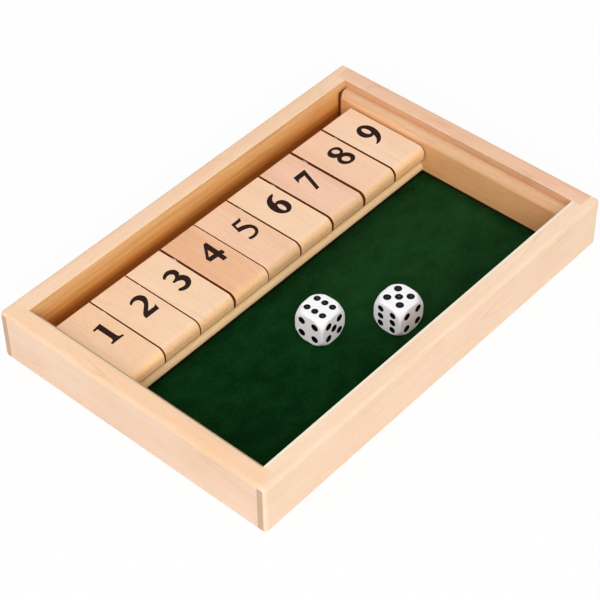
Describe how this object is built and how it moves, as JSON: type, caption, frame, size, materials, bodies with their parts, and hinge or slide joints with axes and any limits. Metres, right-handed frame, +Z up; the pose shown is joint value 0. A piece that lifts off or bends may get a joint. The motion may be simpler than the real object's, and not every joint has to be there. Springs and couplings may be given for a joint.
{
  "type": "shut the box game",
  "caption": "Shallow wooden tray game: a row of numbered tiles hinged on a rod at the back, and a felt rolling area in front with two dice.",
  "frame": {"origin": "on the surface that the tray stands on, under the middle of the tray", "axes": "+X along the row of tiles from the lowest number to the highest, +Y from the player to the back wall behind the tiles, +Z up"},
  "size_m": [0.226, 0.1526, 0.0268],
  "materials": {
    "wall_wood": "satin",
    "base_wood": "satin",
    "board_wood": "satin",
    "tile_wood": "satin",
    "felt": "matte",
    "steel": "satin",
    "die_white": "gloss"
  },
  "bodies": {
    "tray": {"wall_front": "wall_wood", "wall_back": "wall_wood", "wall_left": "wall_wood", "wall_right": "wall_wood", "base_panel": "base_wood", "felt_mat": "felt", "side_board_left": "board_wood", "side_board_right": "board_wood", "tile_rail": "tile_wood", "pivot_rod": "steel", "rod_washers": "steel"},
    "tile_1": {"tile_1": "tile_wood"},
    "tile_2": {"tile_2": "tile_wood"},
    "tile_3": {"tile_3": "tile_wood"},
    "tile_4": {"tile_4": "tile_wood"},
    "tile_5": {"tile_5": "tile_wood"},
    "tile_6": {"tile_6": "tile_wood"},
    "tile_7": {"tile_7": "tile_wood"},
    "tile_8": {"tile_8": "tile_wood"},
    "tile_9": {"tile_9": "tile_wood"},
    "die_left": {"die_left": "die_white"},
    "die_right": {"die_right": "die_white"}
  },
  "joints": [
    {"name": "tile_1_hinge", "type": "hinge", "parent": "tray", "child": "tile_1", "pos_m": [-0.08829, 0.0499, 0.0121], "axis": [-1, 0, 0], "range_deg": [0, 126]},
    {"name": "tile_2_hinge", "type": "hinge", "parent": "tray", "child": "tile_2", "pos_m": [-0.06647, 0.0499, 0.0121], "axis": [-1, 0, 0], "range_deg": [0, 126]},
    {"name": "tile_3_hinge", "type": "hinge", "parent": "tray", "child": "tile_3", "pos_m": [-0.04474, 0.0499, 0.0121], "axis": [-1, 0, 0], "range_deg": [0, 126]},
    {"name": "tile_4_hinge", "type": "hinge", "parent": "tray", "child": "tile_4", "pos_m": [-0.02252, 0.0499, 0.0121], "axis": [-1, 0, 0], "range_deg": [0, 126]},
    {"name": "tile_5_hinge", "type": "hinge", "parent": "tray", "child": "tile_5", "pos_m": [-0.0009, 0.0499, 0.0121], "axis": [-1, 0, 0], "range_deg": [0, 126]},
    {"name": "tile_6_hinge", "type": "hinge", "parent": "tray", "child": "tile_6", "pos_m": [0.02102, 0.0499, 0.0121], "axis": [-1, 0, 0], "range_deg": [0, 126]},
    {"name": "tile_7_hinge", "type": "hinge", "parent": "tray", "child": "tile_7", "pos_m": [0.04324, 0.0499, 0.0121], "axis": [-1, 0, 0], "range_deg": [0, 126]},
    {"name": "tile_8_hinge", "type": "hinge", "parent": "tray", "child": "tile_8", "pos_m": [0.06567, 0.0499, 0.0121], "axis": [-1, 0, 0], "range_deg": [0, 126]},
    {"name": "tile_9_hinge", "type": "hinge", "parent": "tray", "child": "tile_9", "pos_m": [0.08779, 0.0499, 0.0121], "axis": [-1, 0, 0], "range_deg": [0, 126]},
    {"name": "die_left_lift", "type": "slide", "parent": "tray", "child": "die_left", "axis": [0, 0, 1], "range_m": [0, 0.035]},
    {"name": "die_right_lift", "type": "slide", "parent": "tray", "child": "die_right", "axis": [0, 0, 1], "range_m": [0, 0.035]}
  ]
}
